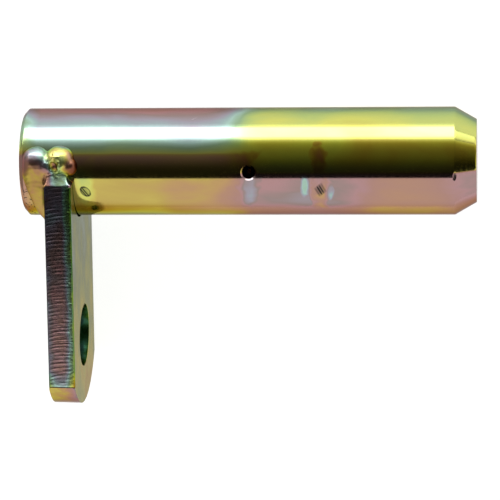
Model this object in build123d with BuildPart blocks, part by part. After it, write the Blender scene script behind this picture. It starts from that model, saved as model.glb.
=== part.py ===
"""Loader pin: a turned steel pin with a flat retaining lug welded across its head end.

X runs along the pin from its head to its nose, the lug hangs towards -Y, and +Z is up
when the pin lies on a bench with the lug on edge. The origin is on the pin's axis, where
the lug's inboard face, the shoulder that seats against the boss, crosses it.
All sizes are millimetres and all angles degrees.
"""

import os
from math import cos, radians, sin, tan

from build123d import *

os.makedirs("parts", exist_ok=True)

# Pin: a plain round bar, broken at the head and tapered at the nose to lead it in.
pin_diameter = 40.0
pin_length = 168.0
head_chamfer = 1.5
nose_lead_length = 8.0
nose_lead_angle = 30.0

# Grease drillings: a tapped port in the head face, a bore along the axis, and an outlet that
# is a little out of square with the lug, as the lug was welded on.
port_tap_diameter = 9.0
port_depth = 13.0
port_mouth_diameter = 10.6
grease_bore_diameter = 5.0
grease_bore_overrun = 5.0
outlet_distance = 65.0
outlet_diameter = 4.8
outlet_edge_break = 0.5
outlet_turn = 2.0
drill_point_angle = 118.0

# Lug: a flat bar with a half-round saddle for the pin, a bolt hole and a domed end.
lug_thickness = 10.0
lug_width = 50.0
lug_head_margin = 10.0
lug_arm_drop = 3.0
lug_corner_drop = 81.0
lug_end_radius = 31.0
lug_edge_round = 0.8
lug_hole_diameter = 23.5
lug_hole_drop = 68.0
saddle_clearance = 0.5
weld_pull = 1.2

# Weld: one fillet run round the outboard side of the saddle, widest at the arm tips. Each
# ripple is a full section followed by one that is shallower by the ripple's depth.
leg_on_pin = 8.0
leg_taper = 4.0
leg_on_lug = 3.8
bead_crown = 0.5
bead_end_angle = 84.0
ripple_count = 30
ripple_depth = 0.3
root_depth = 1.0

# Over each arm tip: two lumps, the crater between them and the collar down to the tip.
# A lump is round in section, with its centre just under the pin's surface. The outer one
# runs a little way round the pin before it ends in its ball.
outer_lump_x = -13.3
outer_lump_radius = 5.2
inner_lump_x = -4.7
inner_lump_radius = 5.5
lump_sink = 0.9
outer_lump_low_angle = 80.0
lump_top_angle = 105.0
crater_x = -6.3
crater_angle = 100.0
crater_radius = 2.2
crater_depth = 1.6
neck_width = 6.3
neck_overhang = 0.4
neck_rise = 4.5
neck_sink = 1.8

pin_radius = pin_diameter / 2
saddle_radius = pin_radius + saddle_clearance
head_x = -(lug_head_margin + lug_thickness)
nose_x = head_x + pin_length
outlet_x = outlet_distance
nose_end_radius = pin_radius - nose_lead_length * tan(radians(nose_lead_angle))
lug_face_x = -lug_thickness
half_point = radians(drill_point_angle / 2)


def drill_point(radius):
    """Length of the cone that a drill of this radius leaves at the bottom of its hole."""
    return radius / tan(half_point)


# ---- The pin -------------------------------------------------------------------------
with BuildPart() as pin_shaft:
    with BuildSketch(Plane.XY):
        with BuildLine():
            Polyline(
                (head_x, 0),
                (head_x, pin_radius - head_chamfer),
                (head_x + head_chamfer, pin_radius),
                (nose_x - nose_lead_length, pin_radius),
                (nose_x, nose_end_radius),
                (nose_x, 0),
                close=True,
            )
        make_face()
    revolve(axis=Axis.X)

    mouth_radius = port_mouth_diameter / 2
    tap_radius = port_tap_diameter / 2
    bore_radius = grease_bore_diameter / 2
    port_end = head_x + port_depth
    bore_end = outlet_x + grease_bore_overrun
    with BuildSketch(Plane.XY):
        with BuildLine():
            Polyline(
                (head_x, 0),
                (head_x, mouth_radius),
                (head_x + mouth_radius - tap_radius, tap_radius),
                (port_end, tap_radius),
                (port_end + drill_point(tap_radius) - drill_point(bore_radius), bore_radius),
                (bore_end, bore_radius),
                (bore_end + drill_point(bore_radius), 0),
                close=True,
            )
        make_face()
    revolve(axis=Axis.X, mode=Mode.SUBTRACT)

    outward = (0, sin(radians(outlet_turn)), cos(radians(outlet_turn)))
    outlet_mouth = (outlet_x, pin_radius * outward[1], pin_radius * outward[2])
    with Locations(Plane(outlet_mouth, x_dir=(1, 0, 0), z_dir=outward)):
        Hole(radius=outlet_diameter / 2, depth=pin_radius)
    outlet_edge = pin_shaft.edges().sort_by_distance(outlet_mouth)[0]
    chamfer(outlet_edge, length=outlet_edge_break)

pin_shaft.part.label = "pin_shaft"
export_step(pin_shaft.part, "parts/pin_shaft.step")

# ---- The lug -------------------------------------------------------------------------
# The one-sided weld shrinks as it cools and draws the lug's far end towards the head, so
# the lug's middle plane is turned by that much. Its sketch has x across the width (+Z)
# and y down the lug.
lug_plane = Plane(
    origin=(lug_face_x / 2, 0, 0),
    x_dir=(0, 0, 1),
    z_dir=(cos(radians(weld_pull)), -sin(radians(weld_pull)), 0),
)
half_width = lug_width / 2
end_crown_drop = lug_corner_drop + lug_end_radius - (lug_end_radius**2 - half_width**2) ** 0.5

with BuildPart() as retaining_lug:
    with BuildSketch(lug_plane):
        with BuildLine():
            Polyline(
                (-half_width, lug_corner_drop),
                (-half_width, lug_arm_drop),
                (half_width, lug_arm_drop),
                (half_width, lug_corner_drop),
            )
            ThreePointArc(
                (half_width, lug_corner_drop),
                (0, end_crown_drop),
                (-half_width, lug_corner_drop),
            )
        make_face()
        Circle(saddle_radius, mode=Mode.SUBTRACT)
        with Locations((0, lug_hole_drop)):
            Circle(lug_hole_diameter / 2, mode=Mode.SUBTRACT)
    extrude(amount=lug_thickness / 2, both=True)
    long_edges = retaining_lug.edges().filter_by(Axis(lug_plane.origin, lug_plane.y_dir))
    fillet(long_edges, radius=lug_edge_round)

retaining_lug.part.label = "retaining_lug"
export_step(retaining_lug.part, "parts/retaining_lug.step")

# ---- The weld ------------------------------------------------------------------------


def station_plane(angle):
    """Plane through the pin's axis, with x along the pin and y outwards.

    The angle is measured round the pin from straight down the lug, towards +Z.
    """
    turn = radians(angle)
    return Plane(origin=(0, 0, 0), x_dir=(1, 0, 0), z_dir=(0, -sin(turn), -cos(turn)))


def fillet_section(angle, ripple):
    """Corners of the fillet's section: toe on the pin, crown, toe on the lug, and its root."""
    pin_leg = leg_on_pin - leg_taper * cos(radians(angle)) ** 2 - ripple
    lug_leg = leg_on_lug - ripple
    face_x = lug_face_x - tan(radians(weld_pull)) * saddle_radius * cos(radians(angle))
    return [
        (face_x - pin_leg, pin_radius - root_depth),
        (face_x - pin_leg, pin_radius),
        (face_x - pin_leg / 2 - bead_crown, pin_radius + lug_leg / 2 + bead_crown - ripple),
        (face_x, pin_radius + lug_leg),
        (face_x + root_depth, pin_radius + lug_leg),
        (face_x + root_depth, pin_radius - root_depth),
    ]


def ball(side, centre_x, radius):
    """The round end of a lump, above the arm's tip."""
    centre = (centre_x, pin_radius - lump_sink, 0)
    with Locations(station_plane(side * lump_top_angle).from_local_coords(centre)):
        Sphere(radius)


def rib(side, centre_x, radius, low_angle):
    """The part of a lump that runs round the pin, up to its ball."""
    with BuildSketch(station_plane(side * low_angle)) as section:
        with Locations((centre_x, pin_radius - lump_sink)):
            Circle(radius)
    revolve(section.sketch, axis=Axis.X, revolution_arc=-side * (lump_top_angle - low_angle))


def neck(side):
    """The collar that flares from between the lumps to the arm's square tip."""
    tip_plane = Plane(
        origin=(lug_face_x / 2, -lug_arm_drop - neck_overhang, side * (half_width + pin_radius) / 2),
        x_dir=(1, 0, 0),
        z_dir=(0, 1, 0),
    )
    with BuildSketch(tip_plane) as collar:
        Rectangle(lug_thickness + neck_overhang, half_width - pin_radius)
    with BuildSketch(tip_plane.offset(neck_rise)) as throat:
        with Locations((0, side * neck_sink / 2)):
            Rectangle(neck_width, half_width - pin_radius - neck_sink)
    loft([collar.sketch, throat.sketch], ruled=True)


def crater(side):
    """The pit that the arc left where the weld stopped, between the two lumps."""
    plane = station_plane(side * crater_angle)
    out = pin_radius - lump_sink + inner_lump_radius + crater_radius - crater_depth
    with Locations(plane.from_local_coords((crater_x, out, 0))):
        Sphere(crater_radius, mode=Mode.SUBTRACT)


with BuildPart() as weld_bead:
    for station in range(-ripple_count, ripple_count + 1):
        angle = bead_end_angle * station / ripple_count
        with BuildSketch(station_plane(angle)):
            with BuildLine():
                Polyline(*fillet_section(angle, ripple_depth * (station % 2)), close=True)
            make_face()
    loft(ruled=True)
    for side in (-1, 1):
        rib(side, outer_lump_x, outer_lump_radius, outer_lump_low_angle)
        ball(side, outer_lump_x, outer_lump_radius)
        ball(side, inner_lump_x, inner_lump_radius)
        neck(side)
        crater(side)
    add(pin_shaft.part, mode=Mode.SUBTRACT)
    add(retaining_lug.part, mode=Mode.SUBTRACT)

weld_bead.part.label = "weld_bead"
export_step(weld_bead.part, "parts/weld_bead.step")
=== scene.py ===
"""Loader pin: the looks of a turned steel pin, the flame-cut lug across its head and their weld.

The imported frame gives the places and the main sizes. X runs along the pin from its head to
its nose, the lug hangs towards -Y, and +Z is up with the pin lying on the edge of its lug.
Everything is in metres and each piece keeps its place in its mesh.
"""

import logging
import math
from collections.abc import Callable
from dataclasses import dataclass
from enum import Enum
from functools import partial

import bmesh
import bpy
from mathutils import Matrix, Vector, noise


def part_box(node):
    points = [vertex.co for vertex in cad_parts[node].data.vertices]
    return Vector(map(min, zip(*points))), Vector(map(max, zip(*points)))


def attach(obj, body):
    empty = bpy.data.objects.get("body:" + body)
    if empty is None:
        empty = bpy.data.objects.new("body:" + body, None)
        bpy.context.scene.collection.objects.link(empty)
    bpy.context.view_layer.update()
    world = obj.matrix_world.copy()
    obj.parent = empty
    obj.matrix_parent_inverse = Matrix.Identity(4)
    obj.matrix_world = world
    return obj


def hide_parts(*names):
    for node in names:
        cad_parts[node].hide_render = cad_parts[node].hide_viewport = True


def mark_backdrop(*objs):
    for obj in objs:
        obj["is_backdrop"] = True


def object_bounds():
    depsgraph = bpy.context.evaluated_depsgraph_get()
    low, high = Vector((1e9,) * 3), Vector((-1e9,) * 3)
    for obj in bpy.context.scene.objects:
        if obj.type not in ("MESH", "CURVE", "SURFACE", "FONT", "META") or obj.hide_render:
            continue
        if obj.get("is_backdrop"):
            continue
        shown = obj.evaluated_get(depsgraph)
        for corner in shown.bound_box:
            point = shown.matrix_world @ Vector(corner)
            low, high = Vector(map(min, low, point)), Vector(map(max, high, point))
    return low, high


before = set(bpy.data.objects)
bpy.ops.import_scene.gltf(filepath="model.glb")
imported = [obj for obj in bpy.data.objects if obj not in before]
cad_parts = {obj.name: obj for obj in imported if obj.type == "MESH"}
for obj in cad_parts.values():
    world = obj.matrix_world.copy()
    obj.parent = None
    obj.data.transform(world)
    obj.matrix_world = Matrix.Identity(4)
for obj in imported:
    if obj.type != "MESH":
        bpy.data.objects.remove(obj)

MM = 0.001
SLACK = 0.01 * MM  # Places that are closer than this are the same place.
BODY = "root"
WHITE = "#FFFFFF"
log = logging.getLogger("loader_pin")

Span = tuple[float, float]
Triple = tuple[float, float, float]
Profile = tuple[Span, ...]
Source = bpy.types.Node | bpy.types.NodeSocket | float
Adder = Callable[..., bpy.types.Node]


# ---- Colours and nodes ------------------------------------------------------------------


def to_linear(colour: str) -> tuple[float, float, float, float]:
    """Turn an sRGB hex colour, #RRGGBB, into linear RGBA."""
    channels = (int(colour[i : i + 2], 16) / 255 for i in (1, 3, 5))
    linear = (c / 12.92 if c <= 0.04045 else ((c + 0.055) / 1.055) ** 2.4 for c in channels)
    return (*linear, 1.0)


def add_node(
    tree: bpy.types.NodeTree,
    kind: str,
    *values: object,
    stops: tuple[tuple[float, str], ...] = (),
    points: Profile = (),
    **named: object,
) -> bpy.types.Node:
    """Add a shader node with its settings and links.

    Args:
        tree: The node tree that gets the node.
        kind: The node's type, without its ShaderNode prefix.
        values: What the first inputs get, in order: another node, for its first output, an
            output socket, a hex colour or a value. None leaves an input alone.
        stops: A colour ramp's places and hex colours.
        points: A float curve's points, in order.
        named: Inputs, whose names start with a capital, and the node's own properties.

    Returns:
        The node.
    """
    node = tree.nodes.new("ShaderNode" + kind)
    for name in [name for name in named if name[0].islower()]:
        setattr(node, name, named.pop(name))
    for key, source in (*enumerate(values), *named.items()):
        if isinstance(source, bpy.types.Node):
            source = source.outputs[0]
        if isinstance(source, bpy.types.NodeSocket):
            tree.links.new(source, node.inputs[key])
        elif source is not None:
            value = to_linear(source) if isinstance(source, str) else source
            node.inputs[key].default_value = value
    for index, (place, colour) in enumerate(stops):
        elements = node.color_ramp.elements
        element = elements[index] if index < 2 else elements.new(place)
        element.position = place
        element.color = to_linear(colour)
    if points:
        curve = node.mapping.curves[0].points
        curve[0].location, curve[1].location = points[0], points[-1]
        for point in points[1:-1]:
            curve.new(*point)
        for point in curve:
            point.handle_type = "AUTO_CLAMPED"
        node.mapping.update()
    return node


def new_material(name: str) -> tuple[bpy.types.Material, Adder]:
    """Make an empty node material, and return it with what adds a node to it."""
    material = bpy.data.materials.new(name)
    material.use_nodes = True
    material.node_tree.nodes.clear()
    return material, partial(add_node, material.node_tree)


# ---- The bench: operators on one mesh -----------------------------------------------------


def same(a: float, b: float, slack: float = SLACK) -> bool:
    """Whether two places on a line are the same."""
    return abs(a - b) < slack


def off_axis(place: Vector) -> float:
    """How far a point is from the pin's axis."""
    return math.hypot(place.y, place.z)


def bell(value: float, middle: float, width: float) -> float:
    """A soft bump: 1 at its middle, and near nothing two widths away."""
    return math.exp(-(((value - middle) / width) ** 2))


def take(*bodies: bpy.types.Object) -> None:
    """Select only these objects, and make the first the active one."""
    bpy.ops.object.select_all(action="DESELECT")
    for body in bodies:
        body.select_set(True)
    bpy.context.view_layer.objects.active = bodies[0]


class Element(Enum):
    """What a pick takes hold of."""

    EDGE = "EDGE"
    FACE = "FACE"


class Workpiece:
    """One mesh on the bench: picked by place or direction and shaped by operators."""

    def __init__(self, name: str) -> None:
        """Take the primitive that was just added, and put its place into its mesh."""
        self.body = bpy.context.object
        self.body.name = name
        self.body.data.name = name
        bpy.ops.object.transform_apply(location=True, rotation=True, scale=True)

    def edit(self) -> None:
        """Go into edit mode with nothing selected."""
        bpy.ops.object.mode_set(mode="EDIT")
        bpy.ops.mesh.select_all(action="DESELECT")

    def leave(self) -> None:
        """Go back to object mode."""
        bpy.ops.object.mode_set(mode="OBJECT")

    def pick(self, kind: Element, wanted: Callable[[Vector, Vector], bool]) -> None:
        """Select parts of the mesh by their place, in edit mode.

        Args:
            kind: Edges or faces.
            wanted: Says yes to a part from its middle and its direction, which is the normal
                of a face and the line of an edge.
        """
        bpy.ops.mesh.select_mode(type=kind.value)
        bpy.ops.mesh.select_all(action="DESELECT")
        mesh = bmesh.from_edit_mesh(self.body.data)
        if kind is Element.EDGE:
            ends = ((edge, *(vert.co for vert in edge.verts)) for edge in mesh.edges)
            parts = [(edge, (start + end) / 2, end - start) for edge, start, end in ends]
        else:
            parts = [(face, face.calc_center_median(), face.normal) for face in mesh.faces]
        for part, middle, direction in parts:
            if wanted(middle, direction):
                part.select_set(True)
        bmesh.update_edit_mesh(self.body.data)

    def cross_cut(self, at: Triple | Vector, facing: Triple | Vector, **options: bool) -> None:
        """Cut the whole mesh across with a plane, in edit mode."""
        bpy.ops.mesh.select_all(action="SELECT")
        bpy.ops.mesh.bisect(plane_co=at, plane_no=facing, **options)

    def draw_out(self, shift: Triple, scale: Triple) -> None:
        """Extrude what is selected, and resize its new end."""
        bpy.ops.mesh.extrude_region_move(TRANSFORM_OT_translate={"value": shift})
        bpy.ops.transform.resize(value=scale)

    def sculpt(self, moved: Callable[[Vector, Vector], Vector | None]) -> None:
        """Move single points, for relief that no operator gives.

        Args:
            moved: Gives a point's new place from its place and normal, or None to leave it.
        """
        mesh = self.body.data
        places = [(vertex.co.copy(), vertex.normal.copy()) for vertex in mesh.vertices]
        for vertex, (place, normal) in zip(mesh.vertices, places):
            target = moved(place, normal)
            if target is not None:
                vertex.co = target
        mesh.update()

    def modify(self, kind: str, **settings: object) -> None:
        """Add a modifier of this kind, set its properties and apply it."""
        bpy.context.view_layer.objects.active = self.body
        modifier = self.body.modifiers.new(kind, kind)
        for name, value in settings.items():
            setattr(modifier, name, value)
        bpy.ops.object.modifier_apply(modifier=modifier.name)

    def cut(self, tool: "Workpiece") -> None:
        """Cut the shape of a tool out of this piece, and put the tool away."""
        self.modify("BOOLEAN", object=tool.body, operation="DIFFERENCE", solver="EXACT")
        bpy.data.objects.remove(tool.body)

    def join(self, *others: bpy.types.Object) -> None:
        """Make other objects part of this piece."""
        take(self.body, *others)
        bpy.ops.object.join()

    def smooth(self, degrees: float) -> None:
        """Shade the piece smooth, but for edges sharper than this angle."""
        take(self.body)
        bpy.ops.object.shade_smooth_by_angle(angle=math.radians(degrees))

    def note(self, name: str, value: Callable[[Vector], float]) -> None:
        """Write a number on each point, from the point's place, for a finish to read."""
        mesh = self.body.data
        layer = mesh.attributes.new(name, "FLOAT", "POINT")
        layer.data.foreach_set("value", [value(vertex.co) for vertex in mesh.vertices])

    def paint(
        self, *finishes: bpy.types.Material, zone: Callable[[Vector, Vector], int] | None = None
    ) -> None:
        """Give each face its finish.

        Args:
            finishes: The materials, in slot order.
            zone: Gives a face's slot from its middle and normal. Without it all get the first.
        """
        mesh = self.body.data
        mesh.materials.clear()
        for finish in finishes:
            mesh.materials.append(finish)
        for polygon in mesh.polygons:
            polygon.material_index = zone(polygon.center, polygon.normal) if zone else 0


def bar(name: str, radius: float, start: Triple, end: Triple, sides: int) -> Workpiece:
    """Add a round bar between two points.

    Args:
        name: The workpiece's name.
        radius: The bar's radius.
        start: The middle of its first end.
        end: The middle of its other end.
        sides: How many flats make it round.

    Returns:
        The bar, on the bench.
    """
    start, end = Vector(start), Vector(end)
    line = end - start
    turn = line.to_track_quat("Z", "Y").to_euler()
    bpy.ops.mesh.primitive_cylinder_add(
        vertices=sides, radius=radius, depth=line.length, location=(start + end) / 2, rotation=turn
    )
    return Workpiece(name)


def drop(radius: float, centre: Vector) -> bpy.types.Object:
    """Add a round drop of weld metal."""
    bpy.ops.mesh.primitive_uv_sphere_add(segments=32, ring_count=20, radius=radius, location=centre)
    return bpy.context.object


def round_pin(down_angle: float, radial: float, along: float) -> Vector:
    """A point round the pin, at degrees round from straight down the lug, towards +Z."""
    turn = math.radians(down_angle)
    return Vector((along, -radial * math.cos(turn), radial * math.sin(turn)))


# ---- Marks on the pin ----------------------------------------------------------------------


class MarkKind(Enum):
    """How a mark on the pin was made."""

    CLAMP = "clamp"
    HOOK = "hook"
    NICK = "nick"
    SCRATCH = "scratch"


# How wide one tooth of a clamp or a hook bit, as a share of the mark's half width, and for each
# tooth where it lies across the mark and how hard it bit.
TEETH = {
    MarkKind.CLAMP: (0.15, ((-0.5, 1.2), (-0.05, 1.2), (0.4, 0.6))),
    MarkKind.HOOK: (0.22, ((-0.8, 0.7), (-0.25, 1.3), (0.3, 1.1), (0.85, 0.6))),
}


@dataclass(frozen=True)
class Mark:
    """A mark in the pin's skin, from handling or from hanging in the plating bath.

    up_angle is degrees round from +Z towards +Y. The length lies along the pin before the
    mark is turned by its tilt. film is how much thicker the plating's film grew round it.
    """

    kind: MarkKind
    along: float
    up_angle: float
    length: float
    width: float
    tilt: float
    depth: float
    film: float = 0.0
    margin: float = 0.6 * MM

    def centre(self, radius: float) -> Vector:
        """The mark's middle on a pin of this radius."""
        return round_pin(90 + self.up_angle, radius, self.along)

    def across(self, place: Vector, radius: float) -> Span:
        """Where a point lies in the mark, along its length and across it."""
        turn = math.atan2(place.y, place.z) - math.radians(self.up_angle)
        offset = Vector((place.x - self.along, turn * radius))
        tilt = math.radians(self.tilt)
        lengthwise = offset.x * math.cos(tilt) + offset.y * math.sin(tilt)
        crosswise = offset.y * math.cos(tilt) - offset.x * math.sin(tilt)
        return lengthwise, crosswise

    def near(self, place: Vector, radius: float) -> bool:
        """Whether a point is in the mark or just beside it."""
        offsets = zip(self.across(place, radius), (self.length, self.width))
        return all(abs(offset) < size / 2 + self.margin for offset, size in offsets)

    def bite(self, place: Vector, radius: float) -> float:
        """How much of the mark's depth a point of the skin is pressed in."""
        lengthwise, crosswise = self.across(place, radius)
        along, over = 2 * lengthwise / self.length, 2 * crosswise / self.width
        reach = math.hypot(along, over)
        if self.kind is MarkKind.NICK:
            return max(0.0, 1 - reach**2)
        if self.kind is MarkKind.SCRATCH:
            return math.exp(-3 * over**2) * max(0.0, 1 - along**4)
        width, strokes = TEETH[self.kind]
        teeth = sum(force * bell(over, side, width) for side, force in strokes)
        if self.kind is MarkKind.HOOK:
            return teeth * max(0.0, 1 - (along + 0.2 * over) ** 4)
        # A clamp's jaw is round, so its rim bit too.
        rim = 0.8 * bell(reach, 0.85, 0.12)
        return rim + (teeth * (1 - reach**4) if reach < 1 else 0.0)

    @property
    def dulls(self) -> bool:
        """Whether the mark broke the bright zinc, so that it looks dark."""
        return self.kind is not MarkKind.SCRATCH


# ---- Finishes -------------------------------------------------------------------------------

# Yellow chromate on zinc is a clear film whose thickness sets its colour, so a film that
# thickens runs through these interference colours and then begins again. Each entry is a
# place in that cycle and the colour it gives in white light.
FILM_CYCLE = (
    (0.00, "#BEA65C"),  # straw gold
    (0.07, "#BC9868"),  # amber
    (0.13, "#B48C74"),  # tan
    (0.22, "#AE877C"),  # rose
    (0.29, "#B08A8A"),  # pink
    (0.35, "#9A8682"),  # mauve
    (0.44, "#A09AA4"),  # lilac grey
    (0.50, "#9CAEAE"),  # blue grey
    (0.56, "#A6C4B8"),  # mint
    (0.66, "#93AE8A"),  # sage
    (0.76, "#B0C27A"),  # pale green
    (0.86, "#CFCF6C"),  # lime yellow
    (0.94, "#C8B75E"),  # yellow
    (1.00, "#BEA65C"),  # straw gold, one order up
)


@dataclass(frozen=True)
class Skin:
    """What a surface is like under its film, where it differs from an even one.

    order is how many colour cycles thick the film is. deepening is above 1 where light meets
    the film more than once, so that its colour grows darker and stronger, and also where
    painted shade and painted dark reflection deepen it. broken is 1 where the plating is broken
    through to dull steel. height is the fine relief, 0 to 1.
    """

    order: Source
    deepening: Source = 1.0
    broken: Source = 0.0
    roughness: Source | None = None
    height: Source | None = None
    clouds_at: Source | None = None


@dataclass(frozen=True)
class FilmFinish:
    """A yellow chromate film on bright zinc, clouded as it drained and dried, over fine relief.

    edge_tint is what the finish still gives back edge-on, which keeps a grazing view coloured
    instead of white. cloud_swing is how far the film's order wanders either way.
    """

    name: str
    edge_tint: str = "#B4A8A4"
    bare_steel: str = "#33312B"
    roughness: float = 0.2
    cloud_size: float = 5 * MM
    cloud_swing: float = 0.06
    cloud_stretch: Triple = (1.0, 1.0, 1.0)
    cloud_detail: float = 4.0
    cloud_distortion: float = 0.0
    grain_size: float = 0.5 * MM
    grain_depth: float = 0.003 * MM
    grain_detail: float = 4.0

    def skin(self, add: Adder, place: Source) -> Skin:
        """Lay out what sets this finish apart, at a point of the surface."""
        raise NotImplementedError

    def build(self) -> bpy.types.Material:
        """Make the material: the film's colour, gloss and relief on its own surface."""
        material, add = new_material(self.name)
        place = add("TexCoord").outputs["Object"]
        skin = self.skin(add, place)
        drawn = add("Mapping", skin.clouds_at or place, Scale=self.cloud_stretch)
        clouds = add(
            "TexNoise",
            drawn,
            Scale=1 / self.cloud_size,
            Detail=self.cloud_detail,
            Distortion=self.cloud_distortion,
        )
        cloud = add("MapRange", clouds, 0.3, 0.7, -self.cloud_swing, self.cloud_swing)
        order = add("Math", skin.order, cloud, operation="ADD")
        cycle = add("Math", order, operation="FRACT")
        tint = add("ValToRGB", cycle, stops=FILM_CYCLE)
        deep = add("Gamma", tint, skin.deepening)
        # A mix keeps its two colours behind five inputs of other types.
        others = (None,) * 5
        plated = add("Mix", skin.broken, *others, deep, self.bare_steel, data_type="RGBA")
        height = skin.height or add(
            "TexNoise", place, Scale=1 / self.grain_size, Detail=self.grain_detail
        )
        bump = add("Bump", Height=height, Strength=1.0, Distance=self.grain_depth)
        metal = add(
            "BsdfPrincipled",
            plated.outputs[2],
            Metallic=1.0,
            Roughness=skin.roughness or self.roughness,
            Normal=bump,
            **{"Specular Tint": self.edge_tint},
        )
        add("OutputMaterial", metal)
        return material


@dataclass(frozen=True)
class Halo:
    """Where the bath drained slowly, so that the film is thicker and drained in a streak."""

    centre: Vector
    inner: float
    reach: float
    order: float


@dataclass(frozen=True)
class PinPoint:
    """Where a point of the pin is.

    along and rise are shares of the way from head to nose and from the low side to the top,
    and out is the distance from the axis.
    """

    place: Source
    x: Source
    along: Source
    rise: Source
    out: Source


@dataclass(frozen=True)
class TurnedSteelFinish(FilmFinish):
    """Zinc and yellow chromate on turned and polished bar.

    The eye gets a mirror drawn out along the pin, in bands that change colour round it and
    again towards the nose. The bands are partly the film's own colour and partly painted
    reflection: they follow the height round the pin, after the studio's bands that it mirrors.
    """

    radius: float = 20 * MM
    head_x: float = -20 * MM
    nose_x: float = 148 * MM
    # Each halo is drawn out round the pin, and its outline is ragged at this size.
    halos: tuple[Halo, ...] = ()
    halo_stretch: Triple = (1.2, 0.4, 0.6)
    halo_rag: float = 4.5 * MM
    halo_spread: Span = (0.7, 1.4)
    top_order: float = 1.5
    cloud_size: float = 14 * MM
    cloud_swing: float = 0.05
    cloud_stretch: Triple = (0.45, 1.0, 1.0)
    cloud_detail: float = 3.0
    cloud_distortion: float = 0.6
    # Feed lines of the lathe, drawn three times coarser than they are so that they show.
    line_pitch: float = 0.9 * MM
    grain_depth: float = 0.002 * MM
    gloss: Span = (0.07, 0.13)
    wear_dullness: float = 0.2
    # The end faces' even film, and the shares of the radius where it gives way to the bands.
    face_order: float = 0.96
    face_reach: Span = (0.6, 0.76)
    # The thicker film by the head's rim, and the shares of the length where it thins out.
    rim_order: float = 0.16
    rim_reach: Span = (0.01, 0.04)
    # Spatter beside the weld's toe left pits over this much of the pin's length.
    toe_x: float = -13.5 * MM
    pitted_length: float = 1.5 * MM
    pit_spacing: float = 1.05 * MM
    pit_jostle: float = 2.5 * MM
    pit_edge: Span = (0.22, 0.38)
    pits_left_out: float = 0.2
    shank_share: float = 0.97
    # Heights are shares of the way up the pin, and places shares of the way along it: where
    # the low side ends, where the pits end, and where the painted shadow low on the pin fades.
    low_side: Span = (0.44, 0.52)
    pitted_height: Span = (0.42, 0.34)
    painted_low_shadow_reach: Span = (0.15, 0.42)
    painted_low_shadow_left: float = 0.15
    # The film's order at heights on the pin, from its low side (-1) to its top side (1), partly
    # painted reflection of the studio's bands round the pin.
    head_bands: Profile = (
        (-1.0, 0.60), (-0.85, 0.80), (-0.70, 0.97), (-0.30, 1.00), (0.0, 0.95), (0.15, 1.05),
        (0.30, 1.12), (0.40, 0.85), (0.50, 0.66), (0.65, 0.52), (0.85, 0.46), (0.95, 0.37),
        (1.0, 0.28),
    )  # fmt: skip
    nose_bands: Profile = (
        (-1.0, 1.35), (-0.80, 1.13), (-0.55, 1.30), (-0.01, 1.25), (0.06, 0.85), (0.40, 0.88),
        (0.85, 0.86), (0.95, 0.80), (1.0, 0.66),
    )  # fmt: skip
    # How far the bands have changed over, by share of the way from head to nose.
    changeover: Profile = ((0.0, 0.0), (0.40, 0.03), (0.48, 0.5), (0.56, 1.0), (1.0, 1.0))
    # Drift of the low side's film along the pin, where 0.5 is none.
    low_drift: Profile = (
        (0.0, 0.5), (0.28, 0.50), (0.36, 0.58), (0.55, 0.55), (0.64, 0.60), (0.85, 0.38),
        (1.0, 0.53),
    )  # fmt: skip
    # How much deeper the colour is over the nose end's upper flank, and low down by the lug,
    # where the deeper colour is painted shadow: the shaded table that the pin's low side mirrors.
    flank: Profile = (
        (0.0, 0.0), (0.45, 0.0), (0.55, 0.2), (0.66, 0.75), (0.76, 0.75), (0.82, 0.0), (1.0, 0.0),
    )  # fmt: skip
    painted_low_shadow: Profile = ((0.0, 0.0), (0.07, 0.1), (0.15, 0.6), (0.19, 0.2), (0.25, 0.0), (1.0, 0.0))

    def band(self, add: Adder, rise: Source, bands: Profile) -> bpy.types.Node:
        """Give the film's order round one end of the pin, as a share of the top order: partly
        painted reflection.
        """
        points = tuple(((height + 1) / 2, order / self.top_order) for height, order in bands)
        return add("FloatCurve", Value=rise, points=points)

    def order(self, add: Adder, at: PinPoint, noseward: Source) -> bpy.types.Node:
        """Lay the film's order over the pin: its bands and end faces, its rim and the halos."""
        bands = (self.band(add, at.rise, band) for band in (self.head_bands, self.nose_bands))
        banded = add("Mix", noseward, None, *bands, data_type="FLOAT")
        # The bands belong to the round of the pin, and its end faces have one even film.
        on_round = add("MapRange", at.out, *(share * self.radius for share in self.face_reach))
        on_face = self.face_order / self.top_order
        level = add("Mix", on_round, None, on_face, banded, data_type="FLOAT")
        drift = add("FloatCurve", Value=at.along, points=self.low_drift)
        centred = add("Math", drift, 0.5, operation="SUBTRACT")
        low_side = add("MapRange", at.rise, *self.low_side, 1.0, 0.0)
        rim = add("MapRange", at.along, *self.rim_reach, self.rim_order, 0.0)
        drifted = add("Math", centred, low_side, rim, operation="MULTIPLY_ADD")
        order = add("Math", level, self.top_order, drifted, operation="MULTIPLY_ADD")
        ragged = add("TexNoise", at.place, Scale=1 / self.halo_rag, Detail=1.0)
        spread = add("MapRange", ragged, 0.3, 0.7, *self.halo_spread)
        for halo in self.halos:
            away = add("VectorMath", at.place, halo.centre, operation="SUBTRACT")
            stretched = add("VectorMath", away, self.halo_stretch, operation="MULTIPLY")
            off = add("VectorMath", stretched, operation="LENGTH").outputs["Value"]
            reach = add("Math", off, spread, operation="MULTIPLY")
            thicker = add("MapRange", reach, halo.inner, halo.reach, halo.order, 0.0)
            order = add("Math", order, thicker, operation="ADD")
        return order

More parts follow.
